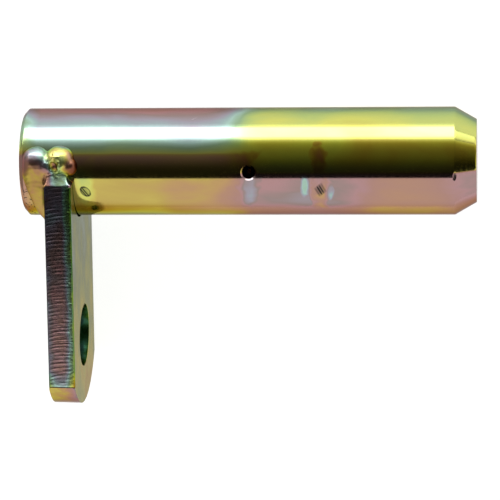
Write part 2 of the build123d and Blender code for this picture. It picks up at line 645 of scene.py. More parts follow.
    def wear(self, add: Adder, at: PinPoint) -> bpy.types.Node:
        """Break the film in the marks, and in pits low on the shank along the weld's toe."""
        rough = add("TexNoise", at.place, Scale=1 / self.pit_jostle, Detail=1.0).outputs["Color"]
        jostle = (self.pit_jostle,) * 3
        shifted = add("VectorMath", rough, jostle, at.place, operation="MULTIPLY_ADD")
        cells = add("TexVoronoi", shifted, Scale=1 / self.pit_spacing, Randomness=1.0)
        pit = add("MapRange", cells, *self.pit_edge, 1.0, 0.0)
        chance = add("SeparateXYZ", cells.outputs["Color"])
        for share in (
            add("Math", chance, self.pits_left_out, operation="GREATER_THAN"),
            add("MapRange", at.x, self.toe_x, self.toe_x - self.pitted_length, 0.0, 1.0),
            add("MapRange", at.rise, *self.pitted_height, 0.0, 1.0),
            add("Math", at.out, self.shank_share * self.radius, operation="GREATER_THAN"),
        ):
            pit = add("Math", pit, share, operation="MULTIPLY")
        scuffs = add("Attribute", attribute_name="worn").outputs["Fac"]
        return add("Math", scuffs, pit, operation="MAXIMUM", use_clamp=True)

    def deepening(self, add: Adder, at: PinPoint, noseward: Source) -> bpy.types.Node:
        """Deepen the film's colour over the nose's upper flank, and low by the lug as painted
        shadow.
        """
        flank = add("FloatCurve", Value=at.rise, points=self.flank)
        # Painted shadow: low on the pin, deepest by the lug, for the shaded table it mirrors.
        painted_low_shadow = add("FloatCurve", Value=at.rise, points=self.painted_low_shadow)
        by_lug = add("MapRange", at.along, *self.painted_low_shadow_reach, 1.0, self.painted_low_shadow_left)
        painted_table_shadow = add("Math", painted_low_shadow, by_lug, operation="MULTIPLY")
        deepened_and_shadowed = add("Math", flank, noseward, painted_table_shadow, operation="MULTIPLY_ADD")
        return add("Math", deepened_and_shadowed, 1.0, operation="ADD")

    def skin(self, add: Adder, place: Source) -> Skin:
        """Lay the bands, halos, pits and feed lines over the pin."""
        x = add("SeparateXYZ", place)
        outward = add("VectorMath", place, (0, 1, 1), operation="MULTIPLY")
        facing = add("VectorMath", outward, operation="NORMALIZE")
        height = add("SeparateXYZ", facing).outputs["Y"]
        at = PinPoint(
            place=place,
            x=x,
            along=add("MapRange", x, self.head_x, self.nose_x),
            rise=add("MapRange", height, -1.0, 1.0),
            out=add("VectorMath", outward, operation="LENGTH").outputs["Value"],
        )
        noseward = add("FloatCurve", Value=at.along, points=self.changeover)
        worn = self.wear(add, at)
        scale = 1 / self.line_pitch
        lines = add("TexNoise", W=x, Scale=scale, Detail=3.0, noise_dimensions="1D")
        gloss = add("MapRange", lines, 0.3, 0.75, *self.gloss)
        dull = add("Math", worn, self.wear_dullness, gloss, operation="MULTIPLY_ADD")
        order, deepening = self.order(add, at, noseward), self.deepening(add, at, noseward)
        return Skin(order, deepening, worn, dull, lines)


@dataclass(frozen=True)
class RolledPlateFinish(FilmFinish):
    """Zinc and yellow chromate on the rolled faces of a flat bar.

    The eye gets a soft sage and beige sheen with faint stains that ran down the lug.
    """

    roughness: float = 0.22
    cloud_size: float = 9 * MM
    cloud_swing: float = 0.11
    cloud_stretch: Triple = (1.0, 0.55, 1.0)
    grain_size: float = 0.8 * MM
    grain_depth: float = 0.006 * MM
    grain_detail: float = 3.0
    # The film's order beside the pin and at the lug's far end, and how far down each is.
    orders: Span = (0.64, 0.87)
    heights: Span = (-20 * MM, -90 * MM)

    def skin(self, add: Adder, place: Source) -> Skin:
        """Let the film thicken down the lug."""
        y = add("SeparateXYZ", place).outputs["Y"]
        return Skin(add("MapRange", y, *self.heights, *self.orders))


@dataclass(frozen=True)
class FlameCutFinish(FilmFinish):
    """Zinc and yellow chromate on a flame-cut edge, over its melted skin.

    The eye gets dark rose and brown between the drag lines, with a teal border where the
    torch came out and a yellow green one where it went in.
    """

    middle_x: float = -5 * MM
    thickness: float = 10 * MM
    lean: float = 1.2
    corner_drop: float = 81 * MM
    cloud_size: float = 6 * MM
    grain_size: float = 0.35 * MM
    grain_depth: float = 0.008 * MM
    # The film's order across the edge, from where the torch came out (0) to where it went in
    # (1), away from the weld and beside it. Beside the weld it runs greyer, and with the deeper
    # colour there this is painted dark reflection.
    lower_orders: Profile = (
        (0.0, 0.46), (0.1, 0.40), (0.3, 0.27), (0.55, 0.25), (0.70, 0.36), (0.84, 0.56),
        (1.0, 0.72),
    )  # fmt: skip
    upper_orders: Profile = ((0.0, 0.44), (0.6, 0.42), (0.76, 0.60), (1.0, 0.72))
    toward_weld_heights: Span = (-50 * MM, -12 * MM)
    # How much thicker the film is at the square end, and over how much of the edge.
    end_order: float = 0.32
    end_length: float = 7 * MM
    # How the colour deepens across the edge, and how many times over away from the weld and
    # beside it; the rise beside the weld is painted dark reflection.
    darkness: Profile = ((0.0, 1.0), (0.12, 0.36), (0.6, 0.34), (0.90, 0.42), (1.0, 0.95))
    edge_darkening_and_painted_reflection: Span = (2.8, 4.8)

    def skin(self, add: Adder, place: Source) -> Skin:
        """Lay the film across the edge, darker where the cut's skin is rough, darker still by the
        weld as painted reflection.
        """
        upright = add(
            "Mapping",
            place,
            Location=(self.middle_x, 0, 0),
            Rotation=(0, 0, -math.radians(self.lean)),
            vector_type="TEXTURE",
        )
        x, y, _ = add("SeparateXYZ", upright).outputs
        through = add("MapRange", x, -self.thickness / 2, self.thickness / 2)
        below, above, darker = (
            add("FloatCurve", Value=through, points=points)
            for points in (self.lower_orders, self.upper_orders, self.darkness)
        )
        toward_weld = add("MapRange", y, *self.toward_weld_heights)
        across = add("Mix", toward_weld, None, below, above, data_type="FLOAT")
        start = self.end_length - self.corner_drop
        to_end = add("MapRange", y, start, -self.corner_drop, 0.0, self.end_order)
        # Painted dark reflection: the edge deepens more towards the weld, by the pin.
        darkened_with_painted_reflection = add("MapRange", toward_weld, None, None, *self.edge_darkening_and_painted_reflection)
        deepening = add("Math", darker, darkened_with_painted_reflection, operation="MULTIPLY")
        order = add("Math", across, to_end, operation="ADD")
        return Skin(order, deepening, clouds_at=upright)


@dataclass(frozen=True)
class GroundEndFinish(FilmFinish):
    """Zinc and yellow chromate on the lug's ground end and in its bolt hole.

    The eye gets clean gold that turns pink and lilac towards one side.
    """

    orders: Span = (-0.04, 0.36)
    # How many times over the colour deepens; above 1 this is painted shade, as in the bolt hole.
    painted_shade_deepening: float = 1.0
    roughness: float = 0.16
    # The film turns late on its way through the lug, between these two places.
    turn_x: Span = (-11.5 * MM, -1.8 * MM)
    turn_power: float = 2.2
    cloud_swing: float = 0.08
    cloud_detail: float = 3.0
    grain_size: float = 0.4 * MM
    grain_detail: float = 2.0

    def skin(self, add: Adder, place: Source) -> Skin:
        """Turn the film's colour through the lug."""
        through = add("MapRange", add("SeparateXYZ", place), *self.turn_x)
        turned = add("Math", through, self.turn_power, operation="POWER")
        return Skin(add("MapRange", turned, None, None, *self.orders), self.painted_shade_deepening)


@dataclass(frozen=True)
class WeldFinish(FilmFinish):
    """Zinc and yellow chromate on weld metal as it froze.

    The eye gets glassy dark gold with patches of rose, mint and lilac.
    """

    roughness: float = 0.3
    cloud_size: float = 3.5 * MM
    cloud_distortion: float = 0.8
    grain_depth: float = 0.015 * MM

    def skin(self, add: Adder, place: Source) -> Skin:
        """Read the film's order and depth of colour from the bead."""
        # The film and depth attributes carry painted highlights and painted shade where the bead's
        # patches put them.
        order, depth = (add("Attribute", attribute_name=name) for name in ("film", "depth"))
        return Skin(order.outputs["Fac"], depth.outputs["Fac"])


# ---- The pin --------------------------------------------------------------------------------


@dataclass
class PinShaft:
    """The turned pin, from its chamfered head with the grease port to its tapered nose."""

    head_x: float
    nose_x: float
    radius: float
    sides: int = 192
    ring_pitch: float = 1.4 * MM
    taper_rings: int = 12
    strips_on_mark: int = 8
    head_chamfer: float = 1.5 * MM
    nose_length: float = 8.0 * MM
    nose_angle: float = 30.0
    edge_break: float = 0.14 * MM
    port_mouth_radius: float = 5.3 * MM
    port_tap_radius: float = 4.5 * MM
    port_depth: float = 13.0 * MM
    bore_radius: float = 2.5 * MM
    bore_overrun: float = 5.0 * MM
    drill_tip: float = 0.2 * MM
    drill_half_angle: float = 59.0
    outlet_x: float = 65.0 * MM
    outlet_radius: float = 2.4 * MM
    outlet_edge_break: float = 0.5 * MM
    outlet_turn: float = 2.0
    outlet_sides: int = 64
    marks: tuple[Mark, ...] = (
        Mark(MarkKind.CLAMP, 4.4 * MM, -19.4, 5.2 * MM, 3.6 * MM, -58.0, 0.12 * MM, -0.12),
        Mark(MarkKind.HOOK, 91.2 * MM, -17.6, 4.6 * MM, 3.4 * MM, -64.0, 0.10 * MM, -0.30),
        Mark(MarkKind.NICK, 140.2 * MM, -2.4, 3.4 * MM, 1.3 * MM, 88.0, 0.22 * MM),
        Mark(MarkKind.SCRATCH, 2.2 * MM, 64.5, 2.2 * MM, 0.6 * MM, 76.0, 0.08 * MM),
        Mark(MarkKind.SCRATCH, 44.6 * MM, 66.0, 4.0 * MM, 0.6 * MM, 38.0, 0.08 * MM),
    )
    mark_halo: float = 5.5 * MM
    # Stains of their own on the upper side, by place along the pin and across it in
    # millimetres, inner and outer reach in millimetres, and how much thicker the film is.
    stains: tuple[tuple[float, float, float, float, float], ...] = (
        (65.0, -3.0, 2.0, 5.5, 0.16),
        (85.5, -4.0, 1.0, 2.6, 0.24),
        (94.5, -9.0, 1.0, 2.6, 0.26),
        (91.0, 2.5, 1.5, 4.2, 0.28),
    )

    @property
    def taper_x(self) -> float:
        """Where the nose's taper begins."""
        return self.nose_x - self.nose_length

    def turn(self) -> Workpiece:
        """Turn the bar: chamfer the head, taper the nose and break the edges."""
        ends = (self.head_x, 0, 0), (self.nose_x, 0, 0)
        pin = bar("turned_pin", self.radius, *ends, self.sides)
        pin.edit()
        pin.pick(Element.EDGE, lambda at, way: same(at.x, self.head_x))
        bpy.ops.mesh.bevel(offset=self.head_chamfer, segments=1, affect="EDGES")
        pin.cross_cut((self.taper_x, 0, 0), (1, 0, 0))
        pin.pick(Element.FACE, lambda at, way: same(at.x, self.nose_x))
        shrink = 1 - self.nose_length * math.tan(math.radians(self.nose_angle)) / self.radius
        bpy.ops.transform.resize(value=(1, shrink, shrink))
        rims = (self.head_x, self.head_x + self.head_chamfer, self.taper_x, self.nose_x)
        pin.pick(
            Element.EDGE, lambda at, way: same(way.x, 0) and any(same(at.x, x) for x in rims)
        )
        bpy.ops.mesh.bevel(offset=self.edge_break, segments=3, affect="EDGES")
        return pin

    def drill_port(self, pin: Workpiece) -> None:
        """Countersink, tap-drill and bore the grease port from the head face."""
        pin.pick(Element.FACE, lambda at, way: same(at.x, self.head_x) and way.x < -0.99)
        face_radius = self.radius - self.head_chamfer - self.edge_break
        bpy.ops.mesh.inset(thickness=face_radius - self.port_mouth_radius)
        lead = self.port_mouth_radius - self.port_tap_radius
        spread = math.tan(math.radians(self.drill_half_angle))
        shoulder = (self.port_tap_radius - self.bore_radius) / spread
        tap_end = self.head_x + self.port_depth
        bore_end = self.outlet_x + self.bore_overrun
        at_x, at_radius = self.head_x, self.port_mouth_radius
        for next_x, next_radius in (
            (self.head_x + lead, self.port_tap_radius),
            (tap_end, self.port_tap_radius),
            (tap_end + shoulder, self.bore_radius),
            (bore_end, self.bore_radius),
            (bore_end + self.bore_radius / spread, self.drill_tip),
        ):
            ratio = next_radius / at_radius
            pin.draw_out((next_x - at_x, 0, 0), (1, ratio, ratio))
            at_x, at_radius = next_x, next_radius

    def ring(self, pin: Workpiece) -> None:
        """Divide the shank and the taper into rings, and the skin round each mark finely."""
        shank = self.taper_x - self.head_x - self.head_chamfer
        skin = self.radius - SLACK
        rings = int(shank / 2 / self.ring_pitch)
        # One operator makes a hundred cuts at most, so the shank is halved first.
        for longer, further, out, cuts in (
            (shank / 2, self.head_x, skin, 1),
            (shank / 3, self.head_x, skin, rings),
            (self.nose_length / 2, self.taper_x, self.radius / 2, self.taper_rings - 1),
        ):
            pin.pick(
                Element.EDGE,
                lambda at, way: abs(way.x) > longer and at.x > further and off_axis(at) > out,
            )
            bpy.ops.mesh.subdivide(number_cuts=cuts)
        pin.pick(Element.FACE, lambda at, way: bool(self.on_mark(at)))
        bpy.ops.mesh.subdivide(number_cuts=self.strips_on_mark - 1)
        pin.leave()

    def cut_outlet(self, pin: Workpiece) -> None:
        """Drill the outlet down to the bore and break its edge all round."""
        width = self.outlet_edge_break
        ends = (self.outlet_x, 0, 0), (self.outlet_x, 0, self.radius - width)
        drill = bar("outlet_drill", self.outlet_radius, *ends, self.outlet_sides)
        drill.edit()
        drill.pick(Element.FACE, lambda at, way: way.z > 0.9)
        mouth = self.outlet_radius
        for lift in (width, MM):
            drill.draw_out((0, 0, lift), ((mouth + lift) / mouth, (mouth + lift) / mouth, 1))
            mouth += lift
        drill.leave()
        turn = Matrix.Rotation(-math.radians(self.outlet_turn), 3, "X")

        def fitted(place: Vector, normal: Vector) -> Vector:
            """Drop the mouth with the round of the pin, then turn the drill off square."""
            if place.z > self.radius / 2:
                fall = math.sqrt(self.radius**2 - place.y**2) - self.radius
                place = place + Vector((0, 0, fall))
            return turn @ place

        drill.sculpt(fitted)
        pin.cut(drill)

    def on_mark(self, place: Vector) -> list[Mark]:
        """The marks whose skin this point belongs to."""
        if off_axis(place) < self.radius - MM:
            return []
        return [mark for mark in self.marks if mark.near(place, self.radius)]

    def press(self, pin: Workpiece) -> None:
        """Press the marks into the skin, and note where they left it dull."""

        def dulled(place: Vector) -> float:
            return sum(mark.bite(place, self.radius) for mark in self.on_mark(place) if mark.dulls)

        def pressed(place: Vector, normal: Vector) -> Vector | None:
            depth = sum(mark.depth * mark.bite(place, self.radius) for mark in self.on_mark(place))
            inward = Vector((0, -place.y, -place.z)).normalized()
            return place + inward * depth if depth else None

        pin.note("worn", dulled)
        pin.sculpt(pressed)

    def build(self) -> bpy.types.Object:
        """Make the pin and return its object."""
        pin = self.turn()
        self.drill_port(pin)
        self.ring(pin)
        self.cut_outlet(pin)
        self.press(pin)
        pin.smooth(12)
        self.dress(pin)
        return pin.body

    def dress(self, pin: Workpiece) -> None:
        """Plate the pin."""
        round_marks = (
            Halo(mark.centre(self.radius), mark.width / 2, self.mark_halo, mark.film)
            for mark in self.marks
            if mark.film
        )
        stains = (
            Halo(Vector((along * MM, over * MM, self.radius)), inner * MM, reach * MM, order)
            for along, over, inner, reach, order in self.stains
        )
        finish = TurnedSteelFinish(
            "yellow_chromate_on_turned_steel",
            radius=self.radius,
            head_x=self.head_x,
            nose_x=self.nose_x,
            halos=(*round_marks, *stains),
        )
        pin.paint(finish.build())


# ---- The lug --------------------------------------------------------------------------------


@dataclass
class RetainingLug:
    """The flat lug, flame-cut along its two long edges and drawn over by the weld.

    It is shaped upright round its own middle plane and leaned into place last.
    """

    half_width: float
    thickness: float = 10.0 * MM
    arm_drop: float = 3.0 * MM
    corner_drop: float = 81.0 * MM
    end_radius: float = 31.0 * MM
    end_facets: int = 48
    edge_round: float = 0.8 * MM
    rim_break: float = 0.25 * MM
    hole_radius: float = 11.75 * MM
    hole_drop: float = 68.0 * MM
    hole_sides: int = 128
    saddle_radius: float = 20.5 * MM
    saddle_sides: int = 192
    lean: float = 1.2
    # The long edges are divided into blocks down the lug, each block into steps, and the cut
    # into strips through the plate, for the drag lines.
    blocks: int = 6
    block_steps: int = 52
    strips: int = 34
    line_pitch: float = 1.55 * MM
    line_height: float = 0.035 * MM
    line_width: float = 0.2 * MM
    line_lag: float = 1.3 * MM
    stop_depth: float = 0.09 * MM

    @property
    def crown_drop(self) -> float:
        """How far the domed end reaches below the pin's axis."""
        rise = math.sqrt(self.end_radius**2 - self.half_width**2)
        return self.corner_drop + self.end_radius - rise

    @property
    def flat_side(self) -> float:
        """How far the flat faces reach to either side, up to the rounded edges."""
        return self.half_width - self.edge_round

    def burn_out(self) -> Workpiece:
        """Cut the plate to its outline, with its long edges melted round."""
        length = self.crown_drop - self.arm_drop
        bpy.ops.mesh.primitive_cube_add(
            size=1,
            scale=(self.thickness, length, 2 * self.half_width),
            location=(0, -self.arm_drop - length / 2, 0),
        )
        lug = Workpiece("flame_cut_lug")
        lug.edit()
        lug.pick(Element.EDGE, lambda at, way: abs(way.y) > length / 2)
        bpy.ops.mesh.bevel(offset=self.edge_round, segments=5, affect="EDGES")
        lug.cross_cut((0, -self.corner_drop, 0), (0, 1, 0))
        centre_y = self.end_radius - self.crown_drop
        reach = math.degrees(math.asin(self.half_width / self.end_radius))
        for step in range(self.end_facets + 1):
            turn = math.radians(-reach + 2 * reach * step / self.end_facets)
            outward = Vector((0, -math.cos(turn), math.sin(turn)))
            at = Vector((0, centre_y, 0)) + outward * self.end_radius
            lug.cross_cut(at, outward, use_fill=True, clear_outer=True)
        straight = self.corner_drop - self.arm_drop
        for longer, cuts in (
            (straight - SLACK, self.blocks - 1),
            (straight / (self.blocks + 1), self.block_steps - 1),
        ):
            lug.pick(
                Element.EDGE, lambda at, way: abs(way.y) > longer and at.y > -self.corner_drop
            )
            bpy.ops.mesh.subdivide(number_cuts=cuts)
        flat = self.thickness - 2 * self.edge_round
        lug.pick(
            Element.EDGE,
            lambda at, way: abs(way.x) > flat - SLACK
            and abs(at.z) > self.half_width - SLACK
            and at.y > -self.corner_drop - SLACK,
        )
        bpy.ops.mesh.subdivide(number_cuts=self.strips - 1)
        lug.leave()
        return lug

    def bore(self, lug: Workpiece) -> None:
        """Cut the saddle and the bolt hole, and break their edges."""
        face = self.thickness / 2
        reach = face + 2 * MM
        rounds = (
            ("saddle_cutter", self.saddle_radius, 0.0, self.saddle_sides),
            ("hole_cutter", self.hole_radius, self.hole_drop, self.hole_sides),
        )
        for name, radius, drop_y, sides in rounds:
            lug.cut(bar(name, radius, (-reach, -drop_y, 0), (reach, -drop_y, 0), sides))
        lug.edit()
        slack = 2 * SLACK

        def on_rim(at: Vector, way: Vector, beyond: float = 0.0) -> bool:
            return (
                same(abs(at.x), face, slack)
                and same(way.x, 0, slack)
                and any(
                    same(math.hypot(at.y + drop_y, at.z), radius + beyond, slack)
                    for _, radius, drop_y, _ in rounds
                )
            )

        def ends_flat(at: Vector, way: Vector) -> bool:
            by_edge = same(abs(at.x), face, slack) and same(abs(at.z), self.flat_side, slack)
            return on_rim(at, way, self.rim_break) or by_edge and same(way.x, 0, slack)

        lug.pick(Element.EDGE, on_rim)
        bpy.ops.mesh.bevel(offset=self.rim_break, segments=2, affect="EDGES")
        # The flat faces end sharply where the rounded edges begin, so that they shade flat.
        lug.pick(Element.EDGE, ends_flat)
        bpy.ops.mesh.mark_sharp()
        lug.leave()

    def drag(self, lug: Workpiece) -> None:
        """Leave the torch's drag lines across the long edges, lagging where it came out."""
        seeds = {True: 7.0, False: 31.0}

        def dragged(place: Vector, normal: Vector) -> Vector | None:
            if abs(place.z) < self.flat_side or place.y < -self.corner_drop - SLACK:
                return None
            # The way through the plate, from where the torch went in (0) to where it came out.
            through = 0.5 - place.x / self.thickness
            seed = seeds[place.z > 0]
            # Each line lags behind the torch, wanders a little and has its own strength.
            wander = noise.noise(Vector((place.y / (9 * MM), through * 0.8, seed)))
            line = place.y + self.line_lag * through**3 + 0.5 * MM * wander
            uneven = noise.noise(Vector((line / (2 * MM), 0, seed)))
            phase = line / self.line_pitch + 0.25 * uneven
            nearest = abs((phase + 0.5) % 1.0 - 0.5) * self.line_pitch
            own = noise.noise(Vector((math.floor(phase + 0.5) * 3.7, through * 3, seed)))
            # No line begins in the melted strip along the torch's side, which is pitted.
            melted = min(1.0, max(0.0, (through - 0.12) / 0.1))
            crest = 0.9 * melted * max(0.0, 0.5 + 1.1 * own) * bell(nearest, 0, self.line_width)
            # Finer ticks between the lines grow stronger where the torch came out.
            ticks = 0.3 + 0.5 * max(0.0, (through - 0.8) / 0.2)
            minor = ticks * noise.noise(Vector((line / (0.45 * MM), through * 2.5, seed + 2)))
            rough = 0.22 * noise.noise(place / (1.1 * MM))
            if through < 0.14:
                rough -= 3.5 * max(0.0, noise.noise(place / (0.7 * MM)) - 0.25)
            fade = min(1.0, (abs(place.z) - self.flat_side) / self.edge_round)
            height = (crest + minor + rough) * self.line_height
            # The cut stopped at the corner in a groove. All of it stays inside the outline.
            stop = bell(place.y + self.corner_drop, 0.35 * MM, 0.22 * MM)
            sink = 1.35 * self.line_height - height + self.stop_depth * stop
            return place - Vector((0, 0, math.copysign(sink * fade, place.z)))

        lug.sculpt(dragged)

    def lean_back(self, lug: Workpiece) -> None:
        """Lean the lug the way the weld drew it, about its middle where it meets the axis."""
        lug.body.rotation_euler = (0, 0, -math.radians(self.lean))
        lug.body.location = (-self.thickness / 2, 0, 0)
        take(lug.body)
        bpy.ops.object.transform_apply(location=True, rotation=True, scale=True)

    def build(self) -> bpy.types.Object:
        """Make the lug and return its object."""
        lug = self.burn_out()
        self.bore(lug)
        self.drag(lug)
        self.lean_back(lug)
        lug.smooth(32)
        self.dress(lug)
        return lug.body

    def dress(self, lug: Workpiece) -> None:
        """Plate the lug."""
        finishes = (
            RolledPlateFinish("yellow_chromate_on_rolled_plate"),
            FlameCutFinish(
                "yellow_chromate_on_flame_cut_edge",
                edge_tint="#4E4A46",
                middle_x=-self.thickness / 2,
                thickness=self.thickness,
                lean=self.lean,
                corner_drop=self.corner_drop,
            ),
            GroundEndFinish("yellow_chromate_on_ground_end"),
            # In the bolt hole the colour is deepened as painted shade, darkening the hole's wall.
            GroundEndFinish(
                "yellow_chromate_in_bolt_hole_with_painted_shade", orders=(0.5, 0.66), painted_shade_deepening=3.2, roughness=0.3
            ),
        )

        def zone(at: Vector, way: Vector) -> int:
            if abs(way.x) > 0.9:
                return 0
            if abs(at.z) > self.flat_side and at.y > -self.corner_drop:
                return 1
            from_hole = math.hypot(at.y + self.hole_drop, at.z)
            return 2 if at.y < -self.corner_drop and from_hole > self.hole_radius + MM else 3

        lug.paint(*(finish.build() for finish in finishes), zone=zone)


# ---- The weld -------------------------------------------------------------------------------


@dataclass(frozen=True)
class Patch:
    """A place on the weld with its own thickness of film, and how deep its colour looks.

    Some patches are painted highlights and some painted shade.
    """

    middle: Vector
    reach: float
    order: float
    depth: float = 1.0


@dataclass
class WeldBead:
    """The one fillet run round the head side of the saddle, with lumps where it starts and stops.

    Half of it is laid up, mirrored, and flowed together by a remesh.
    """

    radius: float
    half_width: float
    arm_drop: float = 3.0 * MM
    lug_thickness: float = 10.0 * MM
    strand_x: float = -13.3 * MM
    strand_radius: float = 5.4 * MM
    strand_root_x: float = -9.0 * MM
    strand_low_angle: float = -4.0
    strand_narrowing: float = 0.54
    strand_settling: float = 0.4
    lump_x: float = -4.7 * MM
    lump_radius: float = 5.7 * MM
    lump_low_angle: float = 103.0
    top_angle: float = 105.0
    section_sides: int = 32
    sink: float = 0.9 * MM
    lip: Vector = Vector((-1.6 * MM, 3.2 * MM, 19.8 * MM))
    lip_radius: float = 3.6 * MM
    bridge: Vector = Vector((-9.4 * MM, 3.6 * MM, 19.2 * MM))
    bridge_radius: float = 4.4 * MM
    crater: Vector = Vector((-6.3 * MM, 4.24 * MM, 23.3 * MM))
    crater_radius: float = 2.1 * MM
    crater_depth: float = 1.5 * MM
    crater_lip: float = 0.28 * MM
    neck_x: float = -5.5 * MM
    neck_foot: float = 0.5 * MM
    neck_overhang: float = 0.4 * MM
    neck_waist: float = 7.4 * MM
    neck_rise: float = 4.6 * MM
    neck_sink: float = 3.0 * MM
    # How far the neck has drawn in on its way up, as shares of its whole rise and narrowing.
    neck_profile: Profile = ((0.06, 0.25), (0.16, 0.55), (0.34, 0.82), (0.62, 1.0), (1.0, 1.0))
    voxel: float = 0.3 * MM
    settling_passes: int = 12
    swell: float = 0.20 * MM
    grain: float = 0.03 * MM
    ripple: float = 0.015 * MM
    ripple_degrees: float = 4.6
    root: float = 0.5 * MM
    core_sides: int = 192
    # The film's order and depth away from every patch, and the patches, in millimetres. Most
    # patches are the weld's own film colours, and some are painted light, as marked below.
    elsewhere: Span = (0.04, 1.1)
    patches: tuple[Patch, ...] = (
        # Painted highlight: mint where the top of the left lump mirrors the softbox.
        Patch(Vector((-12.5, 8.5, 21.0)) * MM, 3.2 * MM, 0.56),
        Patch(Vector((-17.8, 4.5, 20.0)) * MM, 2.4 * MM, 0.36, 1.4),
        Patch(Vector((-13.5, -1.0, 23.0)) * MM, 5.5 * MM, 0.02, 1.2),
        Patch(Vector((-9.4, 4.5, 22.5)) * MM, 2.0 * MM, 0.50),
        Patch(Vector((-9.2, 0.5, 21.5)) * MM, 1.4 * MM, 0.20),
        # Painted shade: deeper colour down in the crater.
        Patch(Vector((-6.3, 4.2, 22.5)) * MM, 1.5 * MM, 1.36, 1.6),
        Patch(Vector((-6.0, 1.2, 24.0)) * MM, 1.5 * MM, 0.84),
        Patch(Vector((-6.8, 7.8, 22.5)) * MM, 3.0 * MM, 1.03, 0.75),
        # Painted highlight: mint at the right lump's hot spot, so that it shows near white.
        Patch(Vector((-3.6, 6.3, 23.0)) * MM, 1.8 * MM, 0.62),
        Patch(Vector((-1.2, 5.6, 21.5)) * MM, 2.8 * MM, 1.22, 0.8),
        # Painted shade: deep red low on the right lump's nose side.
        Patch(Vector((0.8, 3.4, 21.0)) * MM, 2.6 * MM, 1.24, 2.4),
        Patch(Vector((-5.0, -1.8, 23.0)) * MM, 2.8 * MM, 0.74),
    )

    def sweep(self, name: str, along: float, radius: float, low_angle: float) -> Workpiece:
        """Lay a rib of round section round the pin, with a ball at its top.

        Args:
            name: The workpiece's name.
            along: The rib's place along the pin.
            radius: The radius of its section.
            low_angle: Where it ends, in degrees round from straight down the lug.

        Returns:
            The rib with its ball.
        """
        centre = round_pin(self.top_angle, self.radius - self.sink, along)
        bpy.ops.mesh.primitive_circle_add(
            vertices=self.section_sides,
            radius=radius,
            fill_type="NGON",
            location=centre,
            rotation=(math.radians(180 - self.top_angle), 0, 0),
        )
        rib = Workpiece(name)
        rib.edit()
        bpy.ops.mesh.select_all(action="SELECT")
        turn = self.top_angle - low_angle
        bpy.ops.mesh.spin(
            steps=int(turn), angle=math.radians(turn), center=(0, 0, 0), axis=(-1, 0, 0)
        )
        rib.leave()
        rib.join(drop(radius, centre))
        return rib

    def collar(self) -> Workpiece:
        """Build the collar that rises from the arm's square tip and draws in to the lumps."""
        depth = self.half_width - self.radius
        width = self.lug_thickness + self.neck_overhang
        foot_y = -self.arm_drop - self.neck_foot / 2
        bpy.ops.mesh.primitive_cube_add(
            size=1,
            scale=(width, self.neck_foot, depth),
            location=(-self.lug_thickness / 2, foot_y, self.radius + depth / 2),
        )
        neck = Workpiece("weld_neck")
        neck.edit()
        neck.pick(Element.FACE, lambda at, way: way.y > 0.9)
        shift = self.neck_x + self.lug_thickness / 2
        at_width, at_depth, at_rise, done = width, depth, 0.0, 0.0
        for rise, drawn_in in self.neck_profile:
            next_width = width + (self.neck_waist - width) * drawn_in
            next_depth = depth - self.neck_sink * rise
            inward = (next_depth - at_depth) / 2
            neck.draw_out(
                (shift * (drawn_in - done), self.neck_rise * (rise - at_rise), inward),
                (next_width / at_width, 1, next_depth / at_depth),
            )
            at_width, at_depth, at_rise, done = next_width, next_depth, rise, drawn_in
        neck.leave()
        return neck

    def narrow(self, run: Workpiece) -> None:
        """Draw the strand in where it passes under the pin, where the gap was smallest."""
        root = self.strand_root_x

        def drawn(place: Vector, normal: Vector) -> Vector | None:
            # How far down from the lumps a point is: at 0 the strand keeps its full size.
            down = min(1.0, max(0.0, (6.5 * MM - place.y) / (9 * MM)))
            if place.x > root or not down:
                return None
            reach = off_axis(place)
            share = self.strand_narrowing * max(0.0, -place.y) / reach
            settled = self.strand_settling * down * down * (3 - 2 * down)
            sunk = self.radius + (reach - self.radius) * (1 - settled)
            along = root + (place.x - root) * (1 - share)
            return Vector((along, place.y * sunk / reach, place.z * sunk / reach))

        run.sculpt(drawn)

    def flow(self, run: Workpiece) -> None:
        """Mirror the half, run it together and let its surface settle."""
        run.modify("MIRROR", use_axis=(False, False, True), use_bisect_axis=(False, False, True))
        run.edit()
        bpy.ops.mesh.select_all(action="SELECT")
        bpy.ops.mesh.remove_doubles(threshold=SLACK)
        bpy.ops.mesh.normals_make_consistent(inside=False)
        run.leave()
        run.modify("REMESH", mode="VOXEL", voxel_size=self.voxel)
        run.modify("SMOOTH", factor=0.5, iterations=self.settling_passes)

    def freeze(self, run: Workpiece) -> None:
        """Give the skin its ripples, its small unevenness and the craters at both stops."""
        furthest = self.half_width - 0.05 * MM

        def frozen(place: Vector, normal: Vector) -> Vector:
            turn = math.degrees(math.atan2(abs(place.z), -place.y))
            lift = self.swell * noise.noise(place / (4 * MM))
            lift += self.grain * noise.noise(place / (1.5 * MM))
            if place.x < self.strand_root_x:
                # Each ripple trails back in a bow towards the strand's two toes.
                bend = abs(place.x - self.strand_x) / self.strand_radius
                uneven = 0.4 * noise.noise(place / (3 * MM))
                phase = (turn + 6 * bend**2) / self.ripple_degrees + uneven
                lift += self.ripple * math.sin(2 * math.pi * phase)
            # The crater is a bowl with a ragged lip, a little longer round the pin than along.
            stop = Vector((place.x, place.y, abs(place.z))) - self.crater
            ragged = 1 + 0.5 * noise.noise(place / (1.6 * MM))
            reach = ragged * math.hypot(stop.x * 1.1, stop.y * 0.85) / self.crater_radius
            if reach < 2 and abs(place.z) > self.radius:
                lift -= self.crater_depth * max(0.0, 1 - reach**2)
                lift += self.crater_lip * bell(reach, 1.15, 0.22)
            moved = place + normal * lift
            moved.z = math.copysign(min(abs(moved.z), furthest), moved.z)
            return moved

        run.sculpt(frozen)

